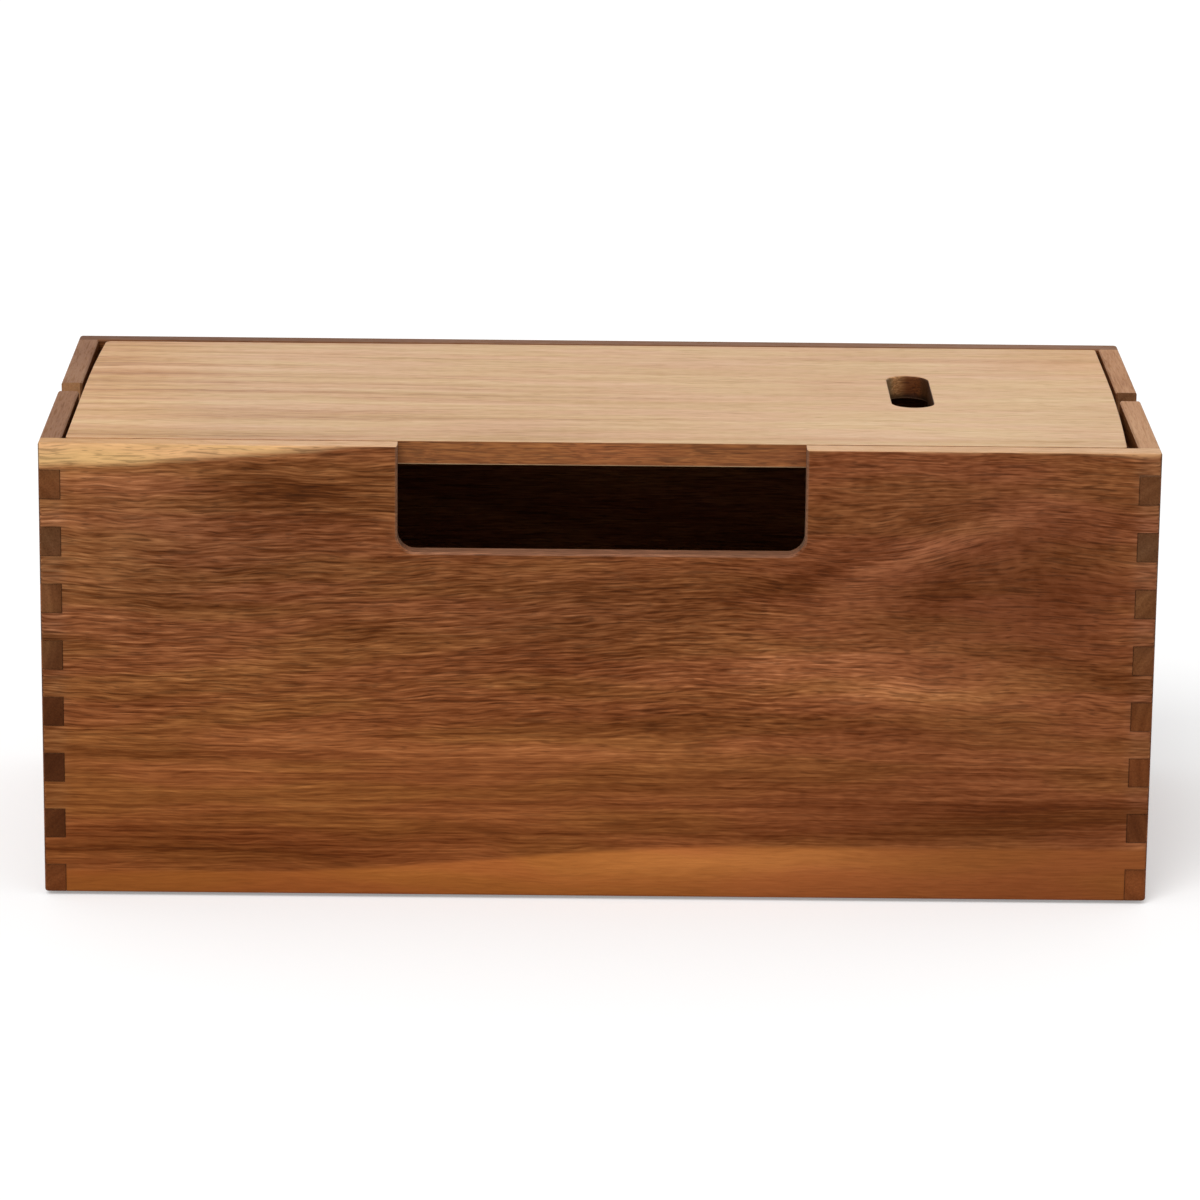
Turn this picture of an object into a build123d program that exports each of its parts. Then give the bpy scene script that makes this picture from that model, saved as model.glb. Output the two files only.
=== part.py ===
"""Cable management box: four finger-jointed hardwood walls, a housed bottom board and a drop-in lid.

Millimetres, +Z up. X runs along the box and the front wall faces -Y. The origin is the centre of
the footprint, on the surface that the foot pads stand on.
"""

import os
from math import floor

from build123d import *

os.makedirs("parts", exist_ok=True)

# ---------------------------------------------------------------------------
# Driving dimensions
# ---------------------------------------------------------------------------

# Walls
box_length = 310.0
box_depth = 135.0
wall_height = 130.0
wall_thickness = 6.0

# Finger joints, counted down from the rim; the two ends were trimmed a little differently
finger_pitch = 8.16
left_top_finger = 7.7
right_top_finger = 6.5
glue_line = 0.12

# Edges sanded after the glue-up
corner_rounding = 1.2
outer_arris = 0.7
inner_arris = 0.4

# Cable notch in the front wall, open at the rim
notch_width = 113.0
notch_depth = 30.3
notch_corner_radius = 5.0
notch_offset = 0.5
notch_arris = 0.5

# Cord slot in each end wall, open at the rim
cord_slot_width = 10.5
cord_slot_depth = 30.0
cord_slot_arris = 0.6

# Lid, cut by hand: its gaps to the walls differ from place to place
lid_thickness = 6.7
lid_gap_front = 0.6
lid_gap_left = 1.1
lid_gap_left_at_rear = 2.4
lid_gap_right = 1.05
lid_gap_right_at_front = 3.2
lid_gap_rear_at_left = 1.5
lid_gap_rear_at_right = 0.7
lid_left_bend_y = 0.0
lid_right_bend_y = 25.0
lid_corner_radius = 1.0
lid_rear_left_radius = 2.0
lid_top_arris = 0.3
lid_bottom_arris = 0.3

# Finger hole in the lid
finger_hole_length = 40.0
finger_hole_width = 12.0
finger_hole_x = 89.5
finger_hole_y = 4.5
finger_hole_arris = 0.6

# Ledge strips that carry the lid, one on each side of each cord slot
ledge_width = 8.0
ledge_height = 9.0
ledge_chamfer = 2.0
ledge_wall_clearance = 0.5
ledge_slot_setback = 1.0

# Bottom board, housed in a stopped groove in every wall
bottom_thickness = 5.0
bottom_lift = 3.0
groove_depth = 3.0
groove_clearance = 0.1
tongue_clearance = 0.3

# Foot pads, stuck under the bottom board
foot_reach = 1.0
foot_diameter = 10.0
foot_taper = 0.6
foot_edge_chamfer = 0.4
foot_inset = 12.0

# ---------------------------------------------------------------------------
# Places worked out from them
# ---------------------------------------------------------------------------

FRONT, BACK = -1, 1
LEFT, RIGHT = -1, 1

wall_foot_z = foot_reach
rim_z = wall_foot_z + wall_height
wall_middle_z = (wall_foot_z + rim_z) / 2
inner_length = box_length - 2 * wall_thickness
inner_depth = box_depth - 2 * wall_thickness
bottom_z = wall_foot_z + bottom_lift
lid_bottom_z = rim_z - lid_thickness
socket_depth = wall_thickness + glue_line
groove_x = (inner_length + groove_depth) / 2
groove_y = (inner_depth + groove_depth) / 2

# Room for rounding when edges are chosen by where they lie
near = 0.001


def finger_bands(end):
    """Heights (low, high) of the fingers at one end of the box, from the rim down.

    The first and every second one belong to the front and back walls, the others to the end wall.
    """
    top_finger = left_top_finger if end == LEFT else right_top_finger
    cuts = floor((wall_height - top_finger - finger_pitch / 2) / finger_pitch) + 1
    levels = [rim_z, *(rim_z - top_finger - finger_pitch * cut for cut in range(cuts)), wall_foot_z]
    return [(low, high) for high, low in zip(levels, levels[1:])]


def cut_groove(x, y, size_x, size_y):
    """Cut the stopped groove for the bottom board's tongue into the wall being made."""
    with Locations((x, y, bottom_z + bottom_thickness / 2)):
        Box(size_x, size_y, bottom_thickness + 2 * groove_clearance, mode=Mode.SUBTRACT)


# ---------------------------------------------------------------------------
# The four glued-up walls as one sanded form, to which each wall is trimmed
# ---------------------------------------------------------------------------

with BuildPart() as sanded_form:
    with BuildSketch(Plane.XY.offset(wall_foot_z)):
        RectangleRounded(box_length, box_depth, corner_rounding)
    extrude(amount=wall_height)
    level_faces = sanded_form.faces().filter_by(Axis.Z)
    fillet(level_faces.edges(), radius=outer_arris)
    with BuildSketch(Plane.XY.offset(wall_foot_z)):
        Rectangle(inner_length, inner_depth)
    extrude(amount=wall_height, mode=Mode.SUBTRACT)
    rim_face = sanded_form.faces().filter_by(Axis.Z).sort_by(Axis.Z)[-1]
    chamfer(rim_face.inner_wires()[0].edges(), length=inner_arris)


# ---------------------------------------------------------------------------
# Front and back walls
# ---------------------------------------------------------------------------


def long_wall_blank():
    """Outline of the front and back walls, with sockets for the end walls' fingers."""
    with BuildSketch() as blank:
        with Locations((0, wall_middle_z)):
            Rectangle(box_length, wall_height)
        for end in (LEFT, RIGHT):
            for low, high in finger_bands(end)[1::2]:
                with Locations((end * box_length / 2, (low + high) / 2)):
                    Rectangle(2 * socket_depth, high - low + 2 * glue_line, mode=Mode.SUBTRACT)
    return blank.sketch


with BuildPart() as front_panel:
    with BuildSketch(Plane.XZ.offset(box_depth / 2)):
        add(long_wall_blank())
        with Locations((notch_offset, rim_z)):
            RectangleRounded(notch_width, 2 * notch_depth, notch_corner_radius, mode=Mode.SUBTRACT)
    extrude(amount=-wall_thickness)
    notch_half = notch_width / 2 + near
    notch_edges = (
        front_panel.edges()
        .filter_by_position(Axis.X, notch_offset - notch_half, notch_offset + notch_half)
        .filter_by_position(Axis.Z, rim_z - notch_depth - near, rim_z - near)
    )
    chamfer(notch_edges - notch_edges.filter_by(Axis.Y), length=notch_arris)
    cut_groove(0, FRONT * groove_y, inner_length, groove_depth)
    add(sanded_form.part, mode=Mode.INTERSECT)
front_panel.part.label = "front_panel"
export_step(front_panel.part, "parts/front_panel.step")

with BuildPart() as back_panel:
    with BuildSketch(Plane.XZ.offset(-box_depth / 2)):
        add(long_wall_blank())
    extrude(amount=wall_thickness)
    cut_groove(0, BACK * groove_y, inner_length, groove_depth)
    add(sanded_form.part, mode=Mode.INTERSECT)
back_panel.part.label = "back_panel"
export_step(back_panel.part, "parts/back_panel.step")

# ---------------------------------------------------------------------------
# End walls
# ---------------------------------------------------------------------------

for end, name in ((LEFT, "left_end_panel"), (RIGHT, "right_end_panel")):
    with BuildPart() as end_panel:
        with BuildSketch(Plane.YZ.offset(end * box_length / 2)):
            with Locations((0, wall_middle_z)):
                Rectangle(box_depth, wall_height)
            for low, high in finger_bands(end)[0::2]:
                with Locations(
                    (-box_depth / 2, (low + high) / 2),
                    (box_depth / 2, (low + high) / 2),
                ):
                    Rectangle(2 * socket_depth, high - low, mode=Mode.SUBTRACT)
            with Locations((0, rim_z)):
                SlotOverall(2 * cord_slot_depth, cord_slot_width, rotation=90, mode=Mode.SUBTRACT)
        extrude(amount=-end * wall_thickness)
        slot_half = cord_slot_width / 2 + near
        slot_edges = (
            end_panel.edges()
            .filter_by_position(Axis.Y, -slot_half, slot_half)
            .filter_by_position(Axis.Z, rim_z - cord_slot_depth - near, rim_z - near)
        )
        chamfer(slot_edges - slot_edges.filter_by(Axis.X), length=cord_slot_arris)
        cut_groove(end * groove_x, 0, groove_depth, inner_depth)
        add(sanded_form.part, mode=Mode.INTERSECT)
    end_panel.part.label = name
    export_step(end_panel.part, f"parts/{name}.step")

# ---------------------------------------------------------------------------
# Bottom board: a tongue on each side stands in that wall's groove
# ---------------------------------------------------------------------------

tongue_reach = groove_depth - tongue_clearance
with BuildPart() as bottom_panel:
    with BuildSketch(Plane.XY.offset(bottom_z)):
        Rectangle(inner_length + 2 * tongue_reach, inner_depth - 2 * tongue_clearance)
        Rectangle(inner_length - 2 * tongue_clearance, inner_depth + 2 * tongue_reach)
    extrude(amount=bottom_thickness)
bottom_panel.part.label = "bottom_panel"
export_step(bottom_panel.part, "parts/bottom_panel.step")

# ---------------------------------------------------------------------------
# Ledge strips, glued to the end walls under the lid
# ---------------------------------------------------------------------------

ledge_near_slot = cord_slot_width / 2 + ledge_slot_setback
ledge_near_wall = inner_depth / 2 - ledge_wall_clearance
ledge_length = ledge_near_wall - ledge_near_slot
ledge_y = (ledge_near_wall + ledge_near_slot) / 2
ledge_inner_x = inner_length / 2 - ledge_width

for end, end_name in ((LEFT, "left"), (RIGHT, "right")):
    for side, side_name in ((FRONT, "front"), (BACK, "rear")):
        with BuildPart() as ledge:
            with BuildSketch(Plane.XZ.offset(-side * ledge_y)):
                with BuildLine():
                    Polyline(
                        (end * inner_length / 2, lid_bottom_z),
                        (end * inner_length / 2, lid_bottom_z - ledge_height),
                        (end * (ledge_inner_x + ledge_chamfer), lid_bottom_z - ledge_height),
                        (end * ledge_inner_x, lid_bottom_z - ledge_height + ledge_chamfer),
                        (end * ledge_inner_x, lid_bottom_z),
                        close=True,
                    )
                make_face()
            extrude(amount=ledge_length / 2, both=True)
        ledge.part.label = f"ledge_{end_name}_{side_name}"
        export_step(ledge.part, f"parts/ledge_{end_name}_{side_name}.step")

# ---------------------------------------------------------------------------
# Foot pads
# ---------------------------------------------------------------------------

for end, end_name in ((LEFT, "left"), (RIGHT, "right")):
    for side, side_name in ((FRONT, "front"), (BACK, "rear")):
        foot_x = end * (inner_length / 2 - foot_inset)
        foot_y = side * (inner_depth / 2 - foot_inset)
        with BuildPart() as foot_pad:
            with Locations((foot_x, foot_y, 0)):
                Cone(
                    bottom_radius=foot_diameter / 2 - foot_taper,
                    top_radius=foot_diameter / 2,
                    height=bottom_z,
                    align=(Align.CENTER, Align.CENTER, Align.MIN),
                )
            sole = foot_pad.faces().sort_by(Axis.Z)[0]
            chamfer(sole.edges(), length=foot_edge_chamfer)
        foot_pad.part.label = f"foot_pad_{end_name}_{side_name}"
        export_step(foot_pad.part, f"parts/foot_pad_{end_name}_{side_name}.step")

# ---------------------------------------------------------------------------
# Lid
# ---------------------------------------------------------------------------

lid_left = -inner_length / 2 + lid_gap_left
lid_right = inner_length / 2 - lid_gap_right
lid_front = -inner_depth / 2 + lid_gap_front
front_left = (lid_left, lid_front)
front_right = (inner_length / 2 - lid_gap_right_at_front, lid_front)
rear_left = (-inner_length / 2 + lid_gap_left_at_rear, inner_depth / 2 - lid_gap_rear_at_left)
rear_right = (lid_right, inner_depth / 2 - lid_gap_rear_at_right)
left_bend = (lid_left, lid_left_bend_y)
right_bend = (lid_right, lid_right_bend_y)

with BuildPart() as lid:
    with BuildSketch(Plane.XY.offset(lid_bottom_z)) as lid_outline:
        with BuildLine():
            Polyline(front_right, front_left, left_bend)
            TangentArc(left_bend, rear_left, tangent=(0, 1))
            Polyline(rear_left, rear_right, right_bend)
            TangentArc(right_bend, front_right, tangent=(0, -1))
        make_face()
        for corner, radius in (
            (front_left, lid_corner_radius),
            (front_right, lid_corner_radius),
            (rear_right, lid_corner_radius),
            (rear_left, lid_rear_left_radius),
        ):
            fillet(lid_outline.vertices().sort_by_distance(corner)[0], radius=radius)
    extrude(amount=lid_thickness)
    level_faces = lid.faces().filter_by(Axis.Z).sort_by(Axis.Z)
    chamfer(level_faces[0].edges(), length=lid_bottom_arris)
    fillet(level_faces[-1].edges(), radius=lid_top_arris)
    with BuildSketch(Plane.XY.offset(lid_bottom_z)):
        with Locations((finger_hole_x, finger_hole_y)):
            SlotOverall(finger_hole_length, finger_hole_width, rotation=90)
    extrude(amount=lid_thickness, mode=Mode.SUBTRACT)
    lid_top = lid.faces().filter_by(Axis.Z).sort_by(Axis.Z)[-1]
    fillet(lid_top.inner_wires()[0].edges(), radius=finger_hole_arris)
lid.part.label = "lid"
export_step(lid.part, "parts/lid.step")
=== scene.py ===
import math
from dataclasses import dataclass

import bpy
from mathutils import Matrix, Vector

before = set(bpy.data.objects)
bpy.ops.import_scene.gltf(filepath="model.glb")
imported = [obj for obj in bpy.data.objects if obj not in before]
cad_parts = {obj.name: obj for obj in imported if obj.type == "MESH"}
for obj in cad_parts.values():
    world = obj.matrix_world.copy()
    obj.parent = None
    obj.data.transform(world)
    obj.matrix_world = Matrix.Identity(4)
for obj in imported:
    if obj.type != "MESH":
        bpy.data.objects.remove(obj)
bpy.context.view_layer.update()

# Dresses the cable box's CAD nodes in procedural woods and rubber, and adds the camera, the
# floor and the light. Lengths in the shader graphs are in mm of the frame.
MM = 0.001


# ---------------------------------------------------------------------------
# Camera
# ---------------------------------------------------------------------------

IMAGE_SIZE = 1200
SENSOR_WIDTH = 36.0
CAMERA_PLACE = Vector((-9.4, -1532.9, 491.96)) * MM
CAMERA_FOCAL_PIXELS = 5478.9
CAMERA_YAW = math.radians(-0.381)
CAMERA_PITCH = math.radians(15.425)
CAMERA_ROLL = math.radians(-0.638)


def add_camera():
    """The photograph's view: from the front, a little above the lid."""
    data = bpy.data.cameras.new("camera")
    data.sensor_width = SENSOR_WIDTH
    data.lens = CAMERA_FOCAL_PIXELS / IMAGE_SIZE * SENSOR_WIDTH
    data.clip_end = 20.0
    camera = bpy.data.objects.new("camera", data)
    turn = (
        Matrix.Rotation(CAMERA_YAW, 4, "Z")
        @ Matrix.Rotation(math.pi / 2 - CAMERA_PITCH, 4, "X")
        @ Matrix.Rotation(-CAMERA_ROLL, 4, "Z")
    )
    camera.matrix_world = Matrix.Translation(CAMERA_PLACE) @ turn
    bpy.context.scene.collection.objects.link(camera)
    bpy.context.scene.camera = camera


# ---------------------------------------------------------------------------
# Shader graphs
# ---------------------------------------------------------------------------


def linear(red, green, blue):
    """An sRGB colour, 0 to 255, as the linear RGBA that shaders take."""
    channels = []
    for value in (red, green, blue):
        value /= 255.0
        channels.append(value / 12.92 if value <= 0.04045 else ((value + 0.055) / 1.055) ** 2.4)
    return (*channels, 1.0)


def new_material(name):
    """An empty material and the graph to fill it with."""
    material = bpy.data.materials.new(name)
    material.use_nodes = True
    return material, Graph(material.node_tree)


class Graph:
    """A node tree. Each method adds nodes to it and returns the socket with the result."""

    def __init__(self, tree):
        self.tree = tree
        self.tree.nodes.clear()

    def node(self, kind, **settings):
        """A new shader node with its settings. This method returns the node itself."""
        made = self.tree.nodes.new("ShaderNode" + kind)
        for key, value in settings.items():
            setattr(made, key, value)
        return made

    def feed(self, socket, value):
        """Links a socket, or sets a plain value on it."""
        if isinstance(value, bpy.types.NodeSocket):
            self.tree.links.new(value, socket)
        elif socket.type == "VECTOR":
            socket.default_value = value[:3]
        else:
            socket.default_value = value

    def math(self, operation, *values):
        """The result of a Math node."""
        made = self.node("Math", operation=operation)
        for socket, value in zip(made.inputs, values):
            self.feed(socket, value)
        return made.outputs[0]

    def add(self, *values):
        total = values[0]
        for value in values[1:]:
            total = self.math("ADD", total, value)
        return total

    def times(self, a, b):
        return self.math("MULTIPLY", a, b)

    def mad(self, value, factor, offset):
        """A value times a factor, plus an offset."""
        return self.math("MULTIPLY_ADD", value, factor, offset)

    def scaled(self, coords, stretch):
        """A place with each of its coordinates multiplied."""
        made = self.node("VectorMath", operation="MULTIPLY")
        for socket, value in zip(made.inputs, (coords, stretch)):
            self.feed(socket, value)
        return made.outputs[0]

    def split(self, coords):
        """The three coordinates of a place."""
        made = self.node("SeparateXYZ")
        self.feed(made.inputs[0], coords)
        return made.outputs

    def join(self, x, y, z):
        """The place with three coordinates."""
        made = self.node("CombineXYZ")
        for socket, value in zip(made.inputs, (x, y, z)):
            self.feed(socket, value)
        return made.outputs[0]

    def millimetres(self):
        """The place on the object, in millimetres."""
        return self.scaled(self.node("TexCoord").outputs["Object"], (1 / MM,) * 3)

    def noise(self, coords, stretch, seed, detail=0.0, roughness=0.5):
        """Noise about 0.5, in cycles per millimetre along each axis."""
        made = self.node("TexNoise", noise_dimensions="4D")
        self.feed(made.inputs["Vector"], self.scaled(coords, stretch))
        made.inputs["W"].default_value = seed
        made.inputs["Scale"].default_value = 1.0
        made.inputs["Detail"].default_value = detail
        made.inputs["Roughness"].default_value = roughness
        return made.outputs[0]

    def swing(self, noise, amount):
        """Noise about 0.5 turned into a swing about zero."""
        return self.mad(noise, 2.0 * amount, -amount)

    def ease(self, value, low, high, to_low=0.0, to_high=1.0):
        """A smooth step from to_low to to_high as the value goes from low to high."""
        made = self.node("MapRange", interpolation_type="SMOOTHSTEP")
        for socket, number in zip(made.inputs, (value, low, high, to_low, to_high)):
            self.feed(socket, number)
        return made.outputs[0]

    def blob(self, x, z, centre, half_size, tilt_degrees=0.0):
        """A soft spot: 1 at its centre, a third at its edge, 0 far off."""
        dx = self.math("SUBTRACT", x, centre[0])
        dz = self.math("SUBTRACT", z, centre[1])
        cos, sin = math.cos(math.radians(tilt_degrees)), math.sin(math.radians(tilt_degrees))
        along = self.add(self.times(dx, cos / half_size[0]), self.times(dz, sin / half_size[0]))
        across = self.add(self.times(dx, -sin / half_size[1]), self.times(dz, cos / half_size[1]))
        squares = self.add(self.times(along, along), self.times(across, across))
        return self.math("EXPONENT", self.times(squares, -1.0))

    def band(self, value, centre, half_size):
        """A soft band: 1 at its centre, a third at its edge, 0 far off."""
        offset = self.mad(value, 1.0 / half_size, -centre / half_size)
        return self.math("EXPONENT", self.times(self.times(offset, offset), -1.0))

    def mix(self, factor, a, b):
        """Colour a where the factor is 0, b where it is 1."""
        made = self.node("Mix", data_type="RGBA")
        for index, value in ((0, factor), (6, a), (7, b)):
            self.feed(made.inputs[index], value)
        return made.outputs[2]

    def tinted(self, colour, tint):
        """A colour with its red, green and blue each multiplied."""
        return self.scaled(colour, tint)

    def shade(self, colour, factor):
        """A colour made lighter or darker by a factor socket."""
        made = self.node("VectorMath", operation="SCALE")
        self.feed(made.inputs[0], colour)
        self.feed(made.inputs["Scale"], factor)
        return made.outputs[0]

    def ramp(self, value, stops):
        """The colour that a value has on a scale of places and colours."""
        made = self.node("ValToRGB")
        self.feed(made.inputs[0], value)
        elements = made.color_ramp.elements
        while len(elements) < len(stops):
            elements.new(0.5)
        for element, (place, colour) in zip(elements, stops):
            element.position = place
            element.color = colour
        return made.outputs[0]

    def edges(self, radius):
        """0 on a flat face, up to 1 on an arris."""
        rounded = self.node("Bevel", samples=4)
        rounded.inputs["Radius"].default_value = radius
        flat = self.node("NewGeometry")
        dot = self.node("VectorMath", operation="DOT_PRODUCT")
        self.feed(dot.inputs[0], rounded.outputs[0])
        self.feed(dot.inputs[1], flat.outputs["True Normal"])
        return self.ease(dot.outputs["Value"], 0.999, 0.85)

    def bump(self, height, strength, distance):
        """The normal of a surface with fine relief."""
        made = self.node("Bump")
        made.inputs["Strength"].default_value = strength
        made.inputs["Distance"].default_value = distance
        self.feed(made.inputs["Height"], height)
        return made.outputs[0]


# ---------------------------------------------------------------------------
# Wood
# ---------------------------------------------------------------------------

HEARTWOOD = (
    (0.00, linear(56, 24, 6)),
    (0.30, linear(93, 47, 17)),
    (0.50, linear(122, 71, 38)),
    (0.70, linear(151, 95, 56)),
    (1.00, linear(200, 136, 88)),
)
# The tones of the faces that look up: painted sheen and top light on the walls, and on the lid its
# paler wood plus painted sheen.
PALE_MID = linear(206, 162, 116)
PALE_AND_SHEEN_WOOD = (
    (0.00, linear(140, 96, 60)),
    (0.30, linear(186, 140, 94)),
    (0.50, PALE_MID),
    (0.70, linear(217, 177, 131)),
    (1.00, linear(230, 196, 152)),
)
SAPWOOD = linear(223, 176, 124)
WORN_EDGE = linear(150, 112, 86)
GLUE_LINE = linear(58, 32, 16)
RUSSET = (1.03, 0.97, 1.0)
OLIVE = (0.98, 1.0, 0.90)
NO_TINT = (1.0, 1.0, 1.0)

# How far vessels and pores darken dark wood and pale wood.
PORE_SHADE = 0.34
PALE_PORE_SHADE = 0.12

WORN_RADIUS = 0.6 * MM
WORN_SHARE = 0.35
ROUGHNESS = 0.44
PORE_ROUGHNESS = 0.14
RELIEF_STRENGTH = 0.35
RELIEF_DEPTH = 0.08 * MM

# Where a look begins and where it is full, in mm: the finger joints (from the box's middle, and
# up), a wall's top face with its painted sheen and top light, the notch or slot with its painted
# light (from the wall's middle), the rims' left end.
JOINT_X = (145.0, 147.0)
JOINT_Y = (58.0, 60.0)
JOINT_Z = (125.0, 123.0)
RIM_Z = (122.0, 126.0)
CUT_ALONG = (62.0, 59.0)
RIM_LEFT_END = (-90.0, -130.0)

# End grain is darker than the wood along the fibres, and partly the wood's smooth tone. It goes
# from one tint to the other between two heights. The ends round one height (middle and half
# size in mm) are greyer still.
END_LIGHT = 0.56
END_SMOOTH_SHARE = 0.6
END_HEIGHTS = (48.0, 78.0)
LOW_END_TINT = (0.99, 0.95, 0.92)
HIGH_END_TINT = (0.97, 1.19, 1.50)
GREYER_END_BAND = (103.5, 5.5)
GREYER_END_TINT = (1.12, 1.32, 1.65)


@dataclass
class Board:
    """What a board's wood is. Places and half sizes are in mm; an amount is added to a tone."""

    name: str
    along: str  # the axis that its fibres run along
    across: str  # the axis of its width
    seed: float
    heart: tuple = None  # the middle of its log: across the board, and the third way
    wavy: float = 1.0  # how much its fibres wave
    tint: tuple = NO_TINT
    rim: tuple = None  # the colour of its top face, with painted sheen and top light
    rim_tones: tuple = ()  # lighter or darker there: place along the board, half size, amount
    left_tint: tuple = NO_TINT  # the left end of its top face
    cut: float = 0.15  # how much painted light its notch or slot faces get, 0 to 1
    cut_painted_light_tint: tuple = NO_TINT
    end_tones: tuple = ()  # lighter or darker end grain: height, half size, amount
    end_tint: tuple = NO_TINT
    specular: float = 0.05


def grain_coords(g, board):
    """The place in mm by axis, and the same along the fibres, across them and the third way."""
    place = g.split(g.millimetres())
    third = (set("XYZ") - {board.along, board.across}).pop()
    return place, [place["XYZ".index(axis)] for axis in (board.along, board.across, third)]


def facing(g, axis, low=0.55, high=0.85, both=True):
    """1 on faces whose normal lies along an axis, 0 on the others."""
    normal = g.split(g.node("TexCoord").outputs["Normal"])["XYZ".index(axis)]
    return g.ease(g.math("ABSOLUTE", normal) if both else normal, low, high)


class Grain:
    """The fibre pattern of a board, as sockets that its colour and relief are made from.

    Slow, streaks, fibres and gloss swing about 0 and tone about 0.5. Lines is 1 in the vessels
    and pores. Across is the place across the board, bent as the fibres wave.
    """

    def __init__(self, g, board, lean=None):
        seed = board.seed
        self.place, (u, v, w) = grain_coords(g, board)
        raw = g.join(u, v, w)
        self.along = u
        drift = g.swing(g.noise(raw, (0.006, 0.018, 0.018), seed), 6.0)
        wave = g.swing(g.noise(raw, (0.03, 0.07, 0.07), seed + 1), 1.2 * board.wavy)
        ripple = g.swing(g.noise(raw, (0.10, 0.20, 0.20), seed + 2), 0.6 * board.wavy)
        self.across = g.add(v, wave, ripple)
        rise = lean(g, u, v) if lean else 0.0
        self.straight_place = g.join(u, g.math("SUBTRACT", v, rise), w)
        self.fine_place = g.join(u, g.math("SUBTRACT", self.across, rise), w)
        drifting = g.add(self.across, drift)
        self.broad_place = g.join(u, drifting, w)
        mottle = g.noise(self.broad_place, (0.016, 0.07, 0.05), seed + 3, detail=1.0)
        if board.heart:
            rings = flat_sawn(g, board, u, drifting, w)
        else:
            rings = g.noise(
                self.broad_place, (0.008, 0.32, 0.2), seed + 4, detail=2.0, roughness=0.6
            )
            rings = g.swing(rings, 0.12)
        self.slow = g.add(g.swing(mottle, 0.10), rings)
        streaks = g.noise(self.fine_place, (0.045, 1.2, 1.2), seed + 5, detail=1.0)
        self.streaks = g.swing(streaks, 0.22)
        fibres = g.noise(self.fine_place, (0.15, 2.2, 2.2), seed + 6, detail=1.0)
        self.fibres = g.swing(fibres, 0.42)
        self.texture = g.add(self.streaks, self.fibres)
        self.tone = g.add(0.5, self.slow, self.texture)
        vessels = g.ease(g.noise(self.fine_place, (0.09, 1.7, 1.7), seed + 7), 0.60, 0.70)
        pores = g.ease(g.noise(self.fine_place, (0.25, 3.2, 3.2), seed + 8), 0.60, 0.72)
        self.lines = g.math("MAXIMUM", vessels, pores)
        self.hue = g.ease(g.noise(self.broad_place, (0.02, 0.14, 0.1), seed + 10), 0.35, 0.65)
        self.gloss = g.swing(g.noise(self.fine_place, (0.02, 0.2, 0.2), seed + 9), 0.06)


def flat_sawn(g, board, along, across, third):
    """Growth rings cut lengthwise: pointed arches up the middle, fine lines at both edges."""
    dv = g.math("SUBTRACT", across, board.heart[0])
    dw = g.math("SUBTRACT", third, board.heart[1])
    radius = g.math("SQRT", g.add(g.times(dv, dv), g.times(dw, dw)))
    years = g.join(g.times(along, 0.05), g.mad(along, 0.10, radius), 0.0)
    broad = g.noise(years, (0.1, 0.085, 0.0), board.seed + 12, detail=1.0)
    fine = g.noise(years, (0.1, 0.34, 0.0), board.seed + 13, detail=2.0, roughness=0.6)
    return g.add(g.swing(broad, 0.24), g.swing(fine, 0.22))


def plain_features(g, grain):
    """The colour of a board with calm, straight fibres, which shows its rings."""
    lines = g.swing(g.noise(grain.straight_place, (0.02, 0.9, 0.9), 23.0, detail=1.0), 0.13)
    texture = g.times(g.add(grain.texture, lines), 0.62)
    return g.ramp(g.add(0.51, grain.slow, texture), HEARTWOOD)


def wood(board, features=plain_features, rim=None, lean=None):
    """Oiled acacia: soft mottling, fine rings, short wavy fibres and pores along the grain.

    Features gives the colour along the fibres, rim paints sheen and top light onto the faces that
    look up (on the lid over its paler wood), and lean is how far the fibres rise.
    """
    material, g = new_material(board.name)
    grain = Grain(g, board, lean)
    colour = features(g, grain)
    colour = g.mix(grain.hue, g.tinted(colour, OLIVE), g.tinted(colour, RUSSET))
    colour = g.tinted(colour, board.tint)
    colour = g.shade(colour, g.mad(grain.lines, -PORE_SHADE, 1.0))
    colour = end_grain(g, board, grain, colour)
    if rim:
        colour = rim(g, board, grain, colour)
    worn = g.mix(at_joints(g, grain), WORN_EDGE, GLUE_LINE)
    colour = g.mix(g.times(g.edges(WORN_RADIUS), WORN_SHARE), colour, worn)

    relief = g.add(g.times(grain.lines, -1.0), g.times(grain.fibres, 0.8))
    bump = g.bump(relief, strength=RELIEF_STRENGTH, distance=RELIEF_DEPTH)
    rough = g.add(ROUGHNESS, g.times(grain.lines, PORE_ROUGHNESS), grain.gloss)
    finish(g, colour, rough, bump, board.specular)
    return material


def at_joints(g, grain):
    """1 round the finger joints at the box's four corners, 0 elsewhere."""
    x, y, z = (g.math("ABSOLUTE", axis) for axis in grain.place)
    corner = g.times(g.ease(x, *JOINT_X), g.ease(y, *JOINT_Y))
    return g.times(corner, g.ease(z, *JOINT_Z))


def end_grain(g, board, grain, colour):
    """Faces across the fibres are darker, each finger a little differently, and greyer high up."""
    z = grain.place[2]
    patchy = g.noise(g.join(*grain.place), (0.05, 0.05, 0.09), board.seed + 11)
    light = g.add(END_LIGHT, g.swing(patchy, 0.10))
    for height, half_size, amount in board.end_tones:
        light = g.add(light, g.times(g.band(z, height, half_size), amount))
    smooth = g.tinted(g.ramp(g.add(0.5, grain.slow), HEARTWOOD), board.tint)
    ends = g.shade(g.mix(END_SMOOTH_SHARE, colour, smooth), light)
    low, high = g.tinted(ends, LOW_END_TINT), g.tinted(ends, HIGH_END_TINT)
    ends = g.mix(g.ease(z, *END_HEIGHTS), low, high)
    ends = g.mix(g.band(z, *GREYER_END_BAND), ends, g.tinted(ends, GREYER_END_TINT))
    return g.mix(facing(g, board.along), colour, g.tinted(ends, board.end_tint))


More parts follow.
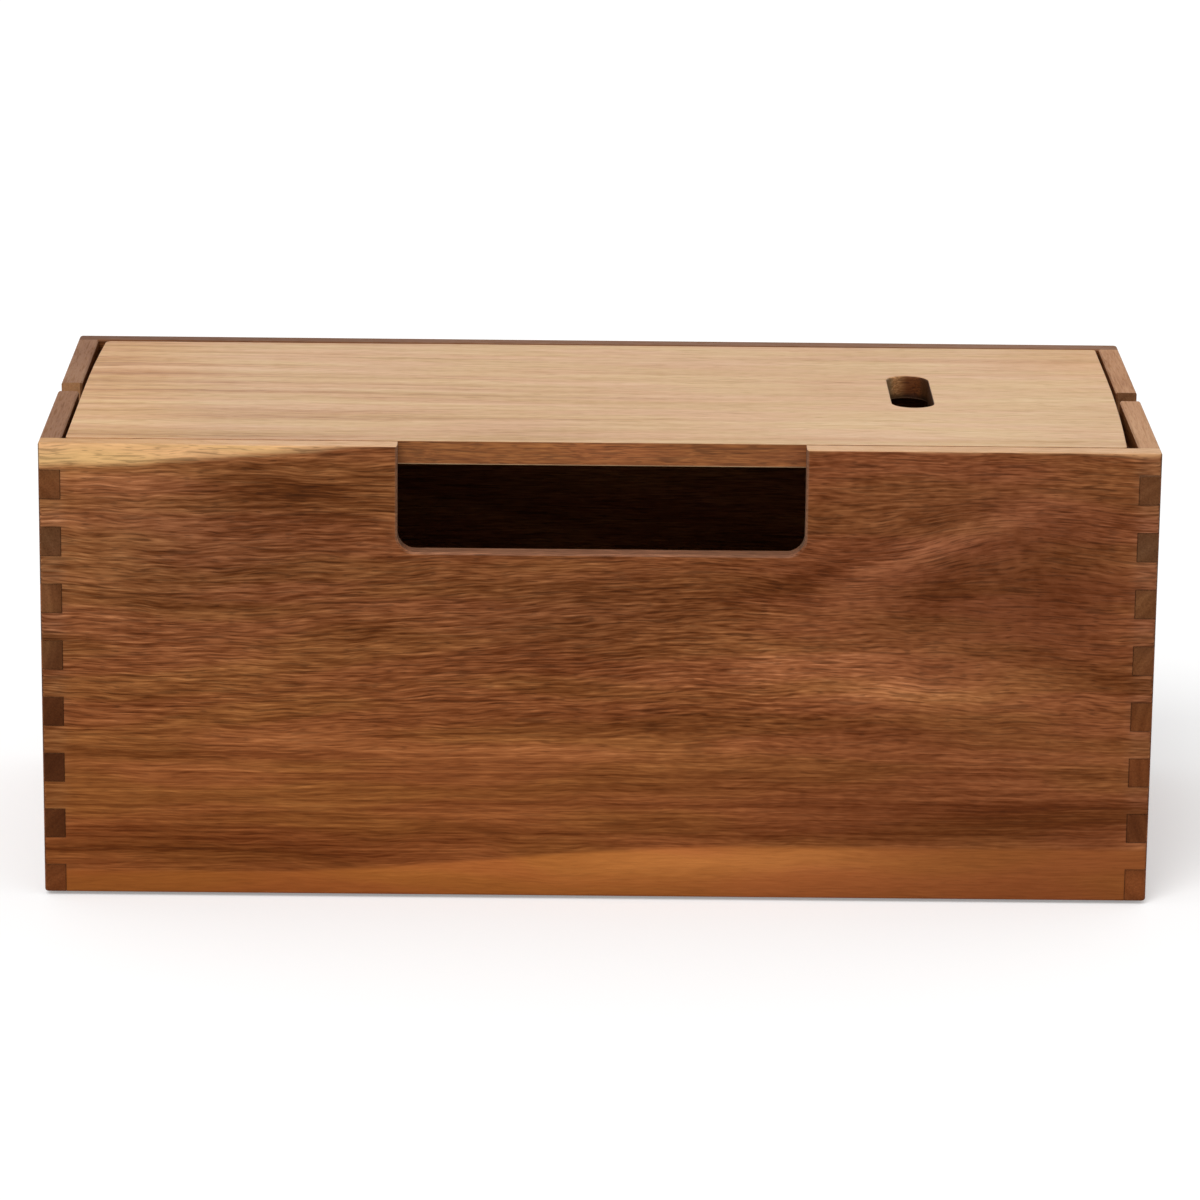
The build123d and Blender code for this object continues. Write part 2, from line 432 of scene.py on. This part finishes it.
def pale_wood_and_painted_sheen(g, board, grain, tone):
    """The faces that look up, paler by painted sheen and top light (on the lid also by its paler
    wood), in the colour of the board's rim.
    """
    tint = [wanted / usual for wanted, usual in zip(board.rim[:3], PALE_MID[:3])]
    pale = g.tinted(g.ramp(tone, PALE_AND_SHEEN_WOOD), tint)
    return g.shade(pale, g.mad(grain.lines, -PALE_PORE_SHADE, 1.0))


def rim_with_painted_sheen(g, board, grain, colour):
    """Painted sheen and top light on a wall's top face, and fainter painted light on the faces of
    its notch or slot.
    """
    tone = g.mad(grain.tone, 0.6, 0.2)
    for place, half_size, amount in board.rim_tones:
        tone = g.add(tone, g.times(g.band(grain.along, place, half_size), amount))
    pale = pale_wood_and_painted_sheen(g, board, grain, tone)
    left_end = g.ease(grain.place[0], *RIM_LEFT_END)
    pale = g.mix(left_end, pale, g.tinted(pale, board.left_tint))
    # Faces that look up, high on the wall, get painted sheen and top light.
    up = facing(g, "Z", 0.5, 0.8, both=False)
    high = g.ease(grain.place[2], *RIM_Z)
    # The notch or slot faces get painted light, scaled by the board's cut and in its own tint.
    inward = g.ease(g.math("ABSOLUTE", grain.along), *CUT_ALONG)
    side = g.times(facing(g, board.along), inward)
    cut = g.times(g.math("MAXIMUM", up, side), board.cut)
    colour = g.mix(cut, colour, g.tinted(pale, board.cut_painted_light_tint))
    return g.mix(g.times(high, up), colour, pale)


# Light and dark places on the lid: centre and half size in mm (x, y), amount.
LID_FIGURE = (
    ((80, -40), (42, 15), 0.14),
    ((112, 0), (34, 30), 0.07),
    ((-140, -38), (26, 22), 0.14),
    ((-22, -50), (20, 12), -0.12),
    ((-140, 30), (24, 36), -0.12),
    ((140, 56), (30, 16), -0.14),
    ((78, 54), (24, 10), -0.12),
    ((72, 4), (14, 14), -0.07),
    ((138, -13), (3.6, 2.0), -0.12),
)

# The lid's left end and right rear corner are warmer, and its bands are stronger at the left.
LID_LEFT_END = (-100.0, -140.0)
LID_CORNER = ((146, 50), (24, 34))
LID_BAND_RANGE = (60.0, -130.0, 1.0, 2.4)
LID_OLIVE = (0.99, 1.01, 0.98)
LID_RUSSET = (1.01, 0.98, 1.03)
LID_LEFT_TINT = (1.02, 0.95, 0.84)
LID_CORNER_TINT = (1.0, 0.94, 0.84)

# The finger hole: its middle, the x between which its wall goes from painted shade to painted
# light, and the heights between which painted shade darkens it.
FINGER_HOLE = (89.5, 4.5)
HOLE_PAINTED_LIGHT_X = (90.3, 85.0)
HOLE_PAINTED_SHADE_Z = (126.6, 124.6)
HOLE_PAINTED_SHADE_TINT = (0.50, 0.47, 0.45)
HOLE_PAINTED_LIGHT_TINT = (2.2, 3.4, 4.8)


def lid_faces(g, board, grain, colour):
    """The lid's two broad faces: straight bands, with a warmer left end and rear corner, paler than
    the sides partly by the lid's lighter wood and partly by painted sheen and top light.
    """
    x, y = grain.place[:2]
    bands = g.noise(grain.broad_place, (0.005, 0.22, 0.22), 5.0, detail=2.0, roughness=0.6)
    bands = g.times(g.swing(bands, 0.30), g.ease(x, *LID_BAND_RANGE))
    tone = g.add(g.mad(grain.tone, 0.6, 0.25), bands, g.ease(x, -150.0, 150.0, -0.04, 0.07))
    for centre, half_size, amount in LID_FIGURE:
        tone = g.add(tone, g.times(g.blob(x, y, centre, half_size), amount))
    pale = pale_wood_and_painted_sheen(g, board, grain, tone)
    pale = g.mix(grain.hue, g.tinted(pale, LID_OLIVE), g.tinted(pale, LID_RUSSET))
    pale = g.mix(g.ease(x, *LID_LEFT_END), pale, g.tinted(pale, LID_LEFT_TINT))
    pale = g.mix(g.blob(x, y, *LID_CORNER), pale, g.tinted(pale, LID_CORNER_TINT))
    # Broad faces: the lid's paler wood with painted sheen and top light; sides: painted light and
    # shade in the finger hole.
    return g.mix(facing(g, "Z", 0.5, 0.8), finger_hole_painted_light_and_shade(g, grain, colour), pale)


def finger_hole_painted_light_and_shade(g, grain, colour):
    """The lid's sides, with painted light at the finger hole's left and painted shade low down in
    it.
    """
    x, y, z = grain.place
    here = g.ease(g.blob(x, y, FINGER_HOLE, (22, 34)), 0.15, 0.6)
    # Painted shade for the hole's lower right and painted light for its left.
    dark, light = g.tinted(colour, HOLE_PAINTED_SHADE_TINT), g.tinted(colour, HOLE_PAINTED_LIGHT_TINT)
    wall = g.mix(g.ease(x, *HOLE_PAINTED_LIGHT_X), dark, light)
    return g.mix(here, colour, g.shade(wall, g.ease(z, *HOLE_PAINTED_SHADE_Z, 1.0, 0.25)))


def finish(g, colour, roughness, normal, specular):
    """The surface shader at the end of a graph."""
    surface = g.node("BsdfPrincipled")
    g.feed(surface.inputs["Base Color"], colour)
    g.feed(surface.inputs["Roughness"], roughness)
    g.feed(surface.inputs["Normal"], normal)
    surface.inputs["Specular IOR Level"].default_value = specular
    output = g.node("OutputMaterial")
    g.feed(output.inputs["Surface"], surface.outputs[0])


# The front wall's figure: name, centre and half size in mm (x, z), tilt in degrees, amount.
FRONT_FIGURE = (
    ("light ridge", (95, 104.0), (34, 3.2), 21, 0.19),
    ("dark line above the ridge", (56, 93.5), (21, 3.0), 18, -0.19),
    ("dark above the ridge's end", (96, 112), (24, 3.0), 20, -0.06),
    ("dark cloud left of it", (14, 89), (28, 6), 4, -0.07),
    ("light below the ridge", (58, 84), (26, 4), 16, 0.06),
    ("dark flame core", (95, 90.5), (12, 6.5), 38, -0.17),
    ("flame", (124, 90), (25, 20), 0, -0.08),
    ("second core of the flame", (129, 91), (9, 9), 0, -0.07),
    ("dark rim of the flame", (136, 68), (16, 2.6), -18, -0.09),
    ("dark spot at the right edge", (148, 65), (6, 3), 0, -0.10),
    ("light rim of the flame", (114, 67), (20, 2.6), -18, 0.08),
    ("light patch", (48, 69.5), (23, 6), 0, 0.16),
    ("bright patch", (88, 62), (29, 4.6), 0, 0.26),
    ("light bridge", (74, 71), (18, 3), 0, 0.12),
    ("dark under the light patch", (20, 52), (32, 3.8), 0, -0.12),
    ("dark under the bright patch", (78, 51), (24, 3.2), -8, -0.10),
    ("light streak across", (0, 44.5), (70, 4.5), 0, 0.19),
    ("glow right of the middle", (112, 58), (34, 5), 0, 0.08),
    ("dusk over the ridge", (66, 112), (26, 10), 10, -0.04),
    ("dusk at the upper right", (112, 106), (48, 14), 0, -0.06),
    ("dark left of the light patch", (50, 89), (20, 5), 10, -0.05),
    ("dark streaks", (120, 25.5), (46, 5.4), 0, -0.24),
    ("thin dark streak", (36, 27.5), (44, 0.9), 0, -0.10),
    ("dark line over the foot", (86, 20), (50, 1.8), 0, -0.06),
    ("dark above the foot", (-98, 16.5), (70, 5.2), 1, -0.17),
    ("glow at the lower left", (-100, 33), (58, 13), 0, 0.10),
    ("thin dark line", (-105, 42), (50, 1.2), 0, -0.12),
    ("short light streak", (-92, 47.5), (17, 1.8), 0, 0.16),
    ("tan at the left", (-100, 68), (50, 9), 0, 0.08),
    ("tan at the left edge", (-142, 100), (14, 14), 0, 0.08),
    ("tan under the strip", (-136, 121.5), (22, 4.6), -3, 0.21),
    # Partly the wood's dark figure and partly a painted shadow.
    ("dark spot with painted shadow", (-86, 118), (17, 4.4), 0, -0.29),
    ("dark beside the notch", (-84, 107), (22, 7), 0, -0.12),
    ("dark at the left", (-98, 95), (22, 3.4), 0, -0.06),
    ("dark lower left", (-116, 87), (20, 2.8), 0, -0.07),
    ("dark spot", (-67, 78), (12, 3.4), 0, -0.15),
    ("dark under the notch", (-14, 90), (28, 7), 0, -0.08),
    ("dark right of the middle", (2, 73), (38, 7), 0, -0.07),
    ("sanded fingers at the left", (-155, 113), (6, 12), 0, 0.11),
    ("sanded strip at the left", (-147, 62), (5, 66), 0, 0.04),
    ("dark fingers at the left", (-155, 62), (6, 44), 0, -0.09),
    ("sanded fingers at the right", (155, 106), (6, 26), 0, 0.11),
    ("sanded finger at the lower right", (154, 14), (7, 5), 0, 0.24),
)

# Where the front's fibres show less: centre and half size in mm (x, z), how much less.
FRONT_CALM = (
    ((108, 102), (62, 34), 0.48),
    ((110, 50), (60, 13), 0.28),
    ((110, 23), (70, 8), 0.50),
    ((118, 84), (40, 20), 0.32),
    ((-60, 28), (110, 16), 0.18),
)

# Where the front is greyer or warmer: centre and half size in mm (x, z), tint.
FRONT_TINTS = (
    ((106, 102), (42, 28), (1.03, 1.06, 1.26)),
    ((-112, 104), (40, 20), (1.0, 1.06, 1.20)),
    ((-6, 84), (32, 9), (1.0, 1.0, 1.14)),
    ((-154, 112), (7, 14), (1.0, 0.97, 0.85)),
)

# Lighter and darker places in the bright foot: centre and half size in mm (x, z), amount.
FOOT_FIGURE = (
    ((30, 12.0), (44, 4.5), 0.16),
    ((10, 9), (80, 14), 0.12),
    ((72, 14), (26, 4), 0.07),
    ((-56, 8), (26, 5), 0.08),
    ((-120, 6), (36, 9), 0.03),
    ((124, 3), (44, 8), -0.06),
    ((0, 1), (200, 4), -0.06),
)

# Edges that rise towards the right: from x, to x, height at the first, height at the second.
FOOT_EDGE = (-100.0, 42.0, 7.8, 16.4)
STRIP_EDGE = (-142.0, -58.0, 125.4, 131.4)

# Long straight lines take over from the short fibres between these heights in mm.
LONG_LINES_Z = (62.0, 34.0)

# Where the curly hatching is: centre and half size in mm (x, z).
CURLS = ((104, 104), (54, 34))

# How far a streak pulls the figure's edges along the board, in mm for a tone of 1.
FEATHERING = 60.0

WARM_TINT = (1.05, 0.95, 0.72)
RIGHT_SIDE_TINT = (0.98, 0.94, 0.95)
FOOT_TINT = (1.03, 0.94, 0.76)
DUSTY_TINT = (1.05, 1.16, 1.40)


def slanted(g, x, z, slope, centre, half_size):
    """How far fibres rise that slope up to the right through a soft spot."""
    return g.times(g.mad(x, slope, -slope * centre[0]), g.blob(x, z, centre, half_size))


def front_lean(g, x, z):
    """How far the front's fibres rise towards the right, most of all along the light ridge."""
    middle = slanted(g, x, z, 0.07, (-30, 76), (110, 28))
    ridge = slanted(g, x, z, 0.28, (95, 104), (36, 11))
    return g.add(middle, ridge)


def front_figure(g, grain, feathered, low):
    """Light and dark places, straight lines on the left and short flecks on the right.

    Low is 1 low down, where long straight lines take the place of the short fibres.
    """
    x = grain.place[0]
    lines = g.swing(g.noise(grain.straight_place, (0.02, 0.9, 0.9), 23.0, detail=1.0), 0.17)
    lines = g.times(lines, g.ease(x, 40.0, -60.0, 0.15, 1.0))
    flecks = g.swing(g.noise(grain.fine_place, (0.35, 1.5, 1.5), 25.0), 0.16)
    flecks = g.times(flecks, g.ease(x, -40.0, 60.0))
    calm = 1.0
    for centre, half_size, amount in FRONT_CALM:
        spot = g.blob(x, grain.across, centre, half_size)
        calm = g.math("SUBTRACT", calm, g.times(spot, amount))
    calm = g.times(calm, g.mad(low, -0.38, 1.0))
    long_lines = g.noise(grain.straight_place, (0.010, 0.70, 0.70), 31.0, detail=2.0, roughness=0.9)
    long_lines = g.swing(long_lines, 0.34)
    texture = g.times(g.add(grain.texture, lines, flecks), calm)
    texture = g.add(texture, g.times(long_lines, low))
    curls = g.swing(g.noise(grain.fine_place, (0.30, 0.50, 0.50), 29.0, detail=2.0), 0.14)
    curls = g.times(curls, g.blob(x, grain.across, *CURLS))
    figure = g.add(0.51, g.times(grain.slow, 0.5), texture, curls)
    for _, centre, half_size, tilt, amount in FRONT_FIGURE:
        spot = g.blob(feathered, grain.across, centre, half_size, tilt)
        figure = g.add(figure, g.times(spot, amount))
    return figure


def depth_in_foot(g, grain):
    """How far below the upper edge of the bright foot a place is, in mm."""
    edge = g.ease(grain.place[0], *FOOT_EDGE)
    return g.math("SUBTRACT", edge, g.add(grain.place[2], g.times(grain.streaks, 2.0)))


def foot_tone(g, grain):
    """The tone of the bright foot."""
    tone = g.add(0.60, g.times(grain.slow, 0.3), g.times(grain.texture, 0.20))
    for centre, half_size, amount in FOOT_FIGURE:
        spot = g.blob(grain.place[0], grain.across, centre, half_size)
        tone = g.add(tone, g.times(spot, amount))
    return tone


def front_features(g, grain):
    """The front wall: a pale strip along the rim, a flame on the right and a bright foot.

    It also thins out the grain's lines low down and in the foot.
    """
    x = grain.place[0]
    across = grain.across
    low = g.ease(across, *LONG_LINES_Z)
    depth = depth_in_foot(g, grain)
    grain.lines = g.times(grain.lines, g.mad(low, -0.5, 1.0))
    grain.lines = g.times(grain.lines, g.ease(depth, 1.0, -1.0, 0.5, 1.0))

    feathered = g.add(x, g.times(grain.streaks, FEATHERING))
    figure = front_figure(g, grain, feathered, low)
    foot = g.ease(depth, -0.8, 1.2)
    above_foot = g.math("SUBTRACT", 1.0, foot)
    figure = g.add(g.times(figure, above_foot), g.times(foot_tone(g, grain), foot))
    colour = g.ramp(figure, HEARTWOOD)

    warm = g.times(g.ease(across, 95.0, 15.0), g.ease(x, 140.0, -60.0, 0.15, 1.0))
    colour = g.mix(warm, colour, g.tinted(colour, WARM_TINT))
    right_side = g.ease(x, -30.0, 60.0)
    colour = g.mix(right_side, colour, g.tinted(colour, RIGHT_SIDE_TINT))
    colour = g.mix(foot, colour, g.tinted(colour, FOOT_TINT))
    for centre, half_size, tint in FRONT_TINTS:
        colour = g.mix(g.blob(x, across, centre, half_size), colour, g.tinted(colour, tint))
    dusty = g.times(g.ease(g.math("ABSOLUTE", x), 146.0, 151.0), g.ease(across, 14.0, 24.0))
    colour = g.mix(dusty, colour, g.tinted(colour, DUSTY_TINT))

    strip_edge = g.ease(feathered, *STRIP_EDGE)
    strip = g.ease(g.math("SUBTRACT", across, strip_edge), -1.6, 1.4)
    pale = g.shade(SAPWOOD, g.mad(grain.tone, 0.7, 0.65))
    return g.mix(strip, colour, pale)


# ---------------------------------------------------------------------------
# Rubber
# ---------------------------------------------------------------------------


def rubber(name):
    """Matt black rubber with a faint speckle."""
    material, g = new_material(name)
    speck = g.noise(g.millimetres(), (1.5, 1.5, 1.5), 3.0, detail=3.0)
    colour = g.ramp(speck, ((0.3, linear(22, 22, 23)), (0.7, linear(38, 37, 36))))
    bump = g.bump(speck, strength=0.3, distance=0.05 * MM)
    finish(g, colour, g.mad(speck, 0.2, 0.6), bump, specular=0.3)
    return material


# ---------------------------------------------------------------------------
# Dressing the CAD nodes
# ---------------------------------------------------------------------------


def dress(node, material):
    """Puts one material in every slot of a CAD node."""
    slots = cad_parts[node].data.materials
    for index in range(len(slots)):
        slots[index] = material


def dress_all():
    """Gives every CAD node its material."""
    # A wall's rim is its top face with painted sheen and top light; the lid's rim is its paler wood
    # with painted sheen.
    front = Board(
        "front_wood", "X", "Z", seed=11.0,
        rim=linear(214, 170, 130), rim_tones=((-150, 18, -0.10),), left_tint=(1.0, 0.95, 0.80),
        cut=0.18, cut_painted_light_tint=(0.94, 1.00, 1.30),
    )
    back = Board(
        "back_wood", "X", "Z", seed=37.0, heart=(56, 112), wavy=0.5,
        rim=linear(128, 88, 62), rim_tones=((-130, 70, -0.22), (130, 90, 0.18)),
    )
    left = Board(
        "left_end_wood", "Y", "Z", seed=53.0, heart=(78, -196), wavy=0.5,
        rim=linear(142, 98, 67), rim_tones=((44, 10, -0.10), (15, 12, 0.18)),
        cut=1.0, cut_painted_light_tint=(1.35, 1.40, 1.30),
        end_tones=((119, 5, 0.39), (103, 5, 0.06), (87, 5, 0.14), (38, 26, -0.25), (5, 6, 0.16)),
        end_tint=(1.06, 0.95, 0.80),
    )
    right = Board(
        "right_end_wood", "Y", "Z", seed=71.0, heart=(44, 200), wavy=0.5,
        rim=linear(182, 133, 95), rim_tones=((-48, 22, 0.18), (18, 12, -0.16), (46, 20, -0.14)),
        cut=0.12,
        end_tones=(
            (120, 5, 0.09), (87, 5, 0.14), (71, 5, 0.22), (47, 13, 0.17), (22, 5, -0.06),
            (6, 5, 0.46),
        ),
        end_tint=(1.04, 0.96, 0.84),
    )
    lid = Board(
        "lid_wood", "X", "Y", seed=89.0, tint=(1.22, 1.20, 1.02), rim=linear(206, 163, 120),
        specular=0.2,
    )
    inner = Board("inner_wood", "X", "Y", seed=97.0, heart=(12, -50), wavy=0.5)
    dress("front_panel", wood(front, features=front_features, rim=rim_with_painted_sheen, lean=front_lean))
    dress("back_panel", wood(back, rim=rim_with_painted_sheen))
    dress("left_end_panel", wood(left, rim=rim_with_painted_sheen))
    dress("right_end_panel", wood(right, rim=rim_with_painted_sheen))
    dress("lid", wood(lid, rim=lid_faces))
    inner_wood = wood(inner)
    foot_rubber = rubber("foot_rubber")
    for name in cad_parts:
        if name.startswith("ledge") or name == "bottom_panel":
            dress(name, inner_wood)
        if name.startswith("foot_pad"):
            dress(name, foot_rubber)


# ---------------------------------------------------------------------------
# Floor, light and backdrop
# ---------------------------------------------------------------------------

AMBIENT = 0.83
FLOOR_HALF_SIZE = 6.0
FLOOR_GREY = 0.80
FLOOR_GLOW = 0.28


def seen_directly(g):
    """1 for camera, glossy and transmission rays, 0 for the rays that light the object."""
    path = g.node("LightPath").outputs
    either = g.math("MAXIMUM", path["Is Camera Ray"], path["Is Glossy Ray"])
    return g.math("MAXIMUM", either, path["Is Transmission Ray"])


def add_floor():
    """A pale floor that shows white and keeps the box's shadow."""
    half = FLOOR_HALF_SIZE
    mesh = bpy.data.meshes.new("floor")
    corners = [(-half, -half, 0), (half, -half, 0), (half, half, 0), (-half, half, 0)]
    mesh.from_pydata(corners, [], [(0, 1, 2, 3)])
    floor = bpy.data.objects.new("floor", mesh)
    bpy.context.scene.collection.objects.link(floor)
    material, g = new_material("floor_white")
    surface = g.node("BsdfDiffuse")
    surface.inputs["Color"].default_value = (FLOOR_GREY, FLOOR_GREY, FLOOR_GREY, 1.0)
    glow = g.node("Emission")
    g.feed(glow.inputs["Strength"], g.times(seen_directly(g), FLOOR_GLOW))
    both = g.node("AddShader")
    g.feed(both.inputs[0], surface.outputs[0])
    g.feed(both.inputs[1], glow.outputs[0])
    g.feed(g.node("OutputMaterial").inputs["Surface"], both.outputs[0])
    mesh.materials.append(material)


def add_world():
    """White where it is seen, and an even light of AMBIENT on the object."""
    world = bpy.data.worlds.new("studio")
    bpy.context.scene.world = world
    world.use_nodes = True
    g = Graph(world.node_tree)
    background = g.node("Background")
    g.feed(background.inputs["Strength"], g.mad(seen_directly(g), 1.0 - AMBIENT, AMBIENT))
    g.feed(g.node("OutputWorld").inputs["Surface"], background.outputs[0])


def add_sun(name, azimuth, elevation, strength, softness):
    """A soft sun, with angles in degrees: azimuth 0 is at the front, 90 at the right end."""
    data = bpy.data.lights.new(name, "SUN")
    data.energy = strength
    data.angle = math.radians(softness)
    light = bpy.data.objects.new(name, data)
    light.rotation_euler = (math.radians(90 - elevation), 0.0, math.radians(azimuth))
    bpy.context.scene.collection.objects.link(light)


bpy.context.scene.view_settings.view_transform = "Standard"
add_camera()
add_floor()
add_world()
add_sun("key_sun", azimuth=-25, elevation=50, strength=1.42, softness=35)
dress_all()
